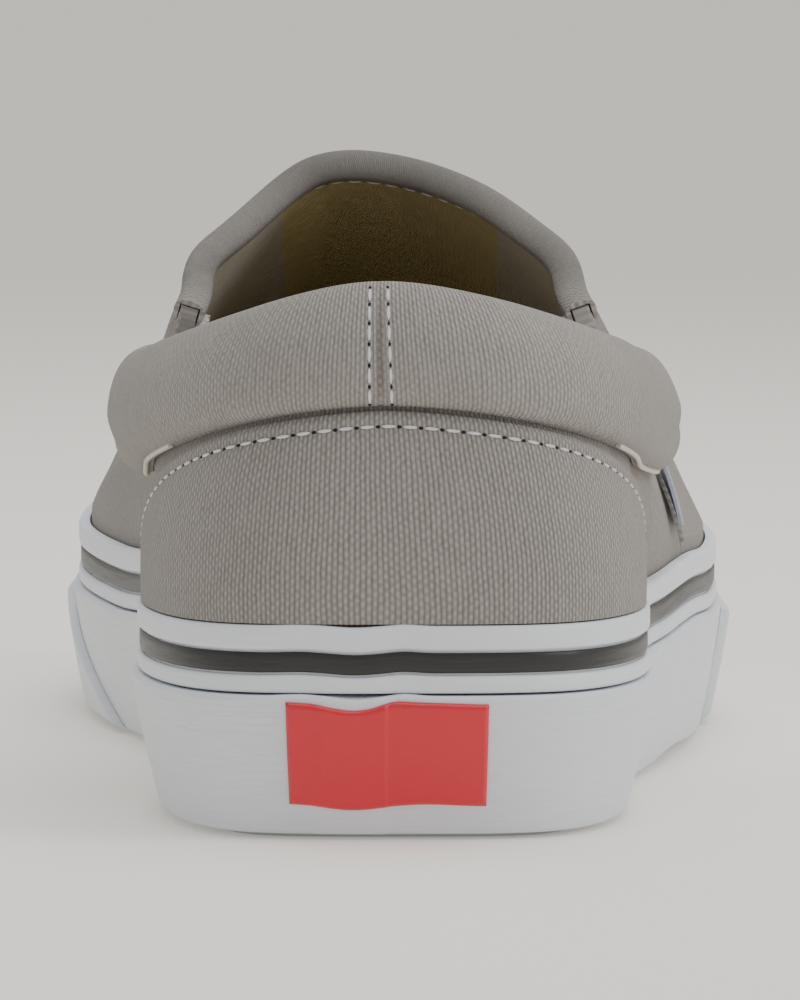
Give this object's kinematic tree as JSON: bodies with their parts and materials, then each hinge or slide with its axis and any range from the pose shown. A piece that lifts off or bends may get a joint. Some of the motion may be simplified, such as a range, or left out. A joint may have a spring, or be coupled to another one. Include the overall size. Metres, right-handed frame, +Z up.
{
  "type": "slip-on sneaker",
  "caption": "Low canvas slip-on sneaker for the right foot, with a padded collar, elastic side gores and a striped rubber sidewall.",
  "frame": {"origin": "centre of the shoe's box on the floor", "axes": "+Y from heel to toe, +X towards the outer (little toe) side of this right shoe, +Z up"},
  "size_m": [0.1086, 0.2914, 0.0939],
  "materials": {
    "tread_rubber": "matt moulded",
    "sidewall_rubber": "satin, finely crinkled",
    "stripe_rubber": "satin",
    "label_rubber": "satin",
    "sock": "plain weave",
    "canvas": "plain weave, ribbed along the warp",
    "padded_canvas": "plain weave over foam",
    "elastic": "ribbed elastic webbing",
    "tab": "woven ribbon"
  },
  "bodies": {
    "root": {"outsole": "tread_rubber", "foxing_lower": "sidewall_rubber", "foxing_upper": "sidewall_rubber", "foxing_stripe": "stripe_rubber", "toe_bumper": "sidewall_rubber", "heel_label": "label_rubber", "insole": "sock", "upper": "canvas", "collar": "padded_canvas", "heel_counter": "canvas", "gore_outer": "elastic", "gore_inner": "elastic", "throat_rim": "canvas", "side_tab": "tab"}
  },
  "joints": []
}
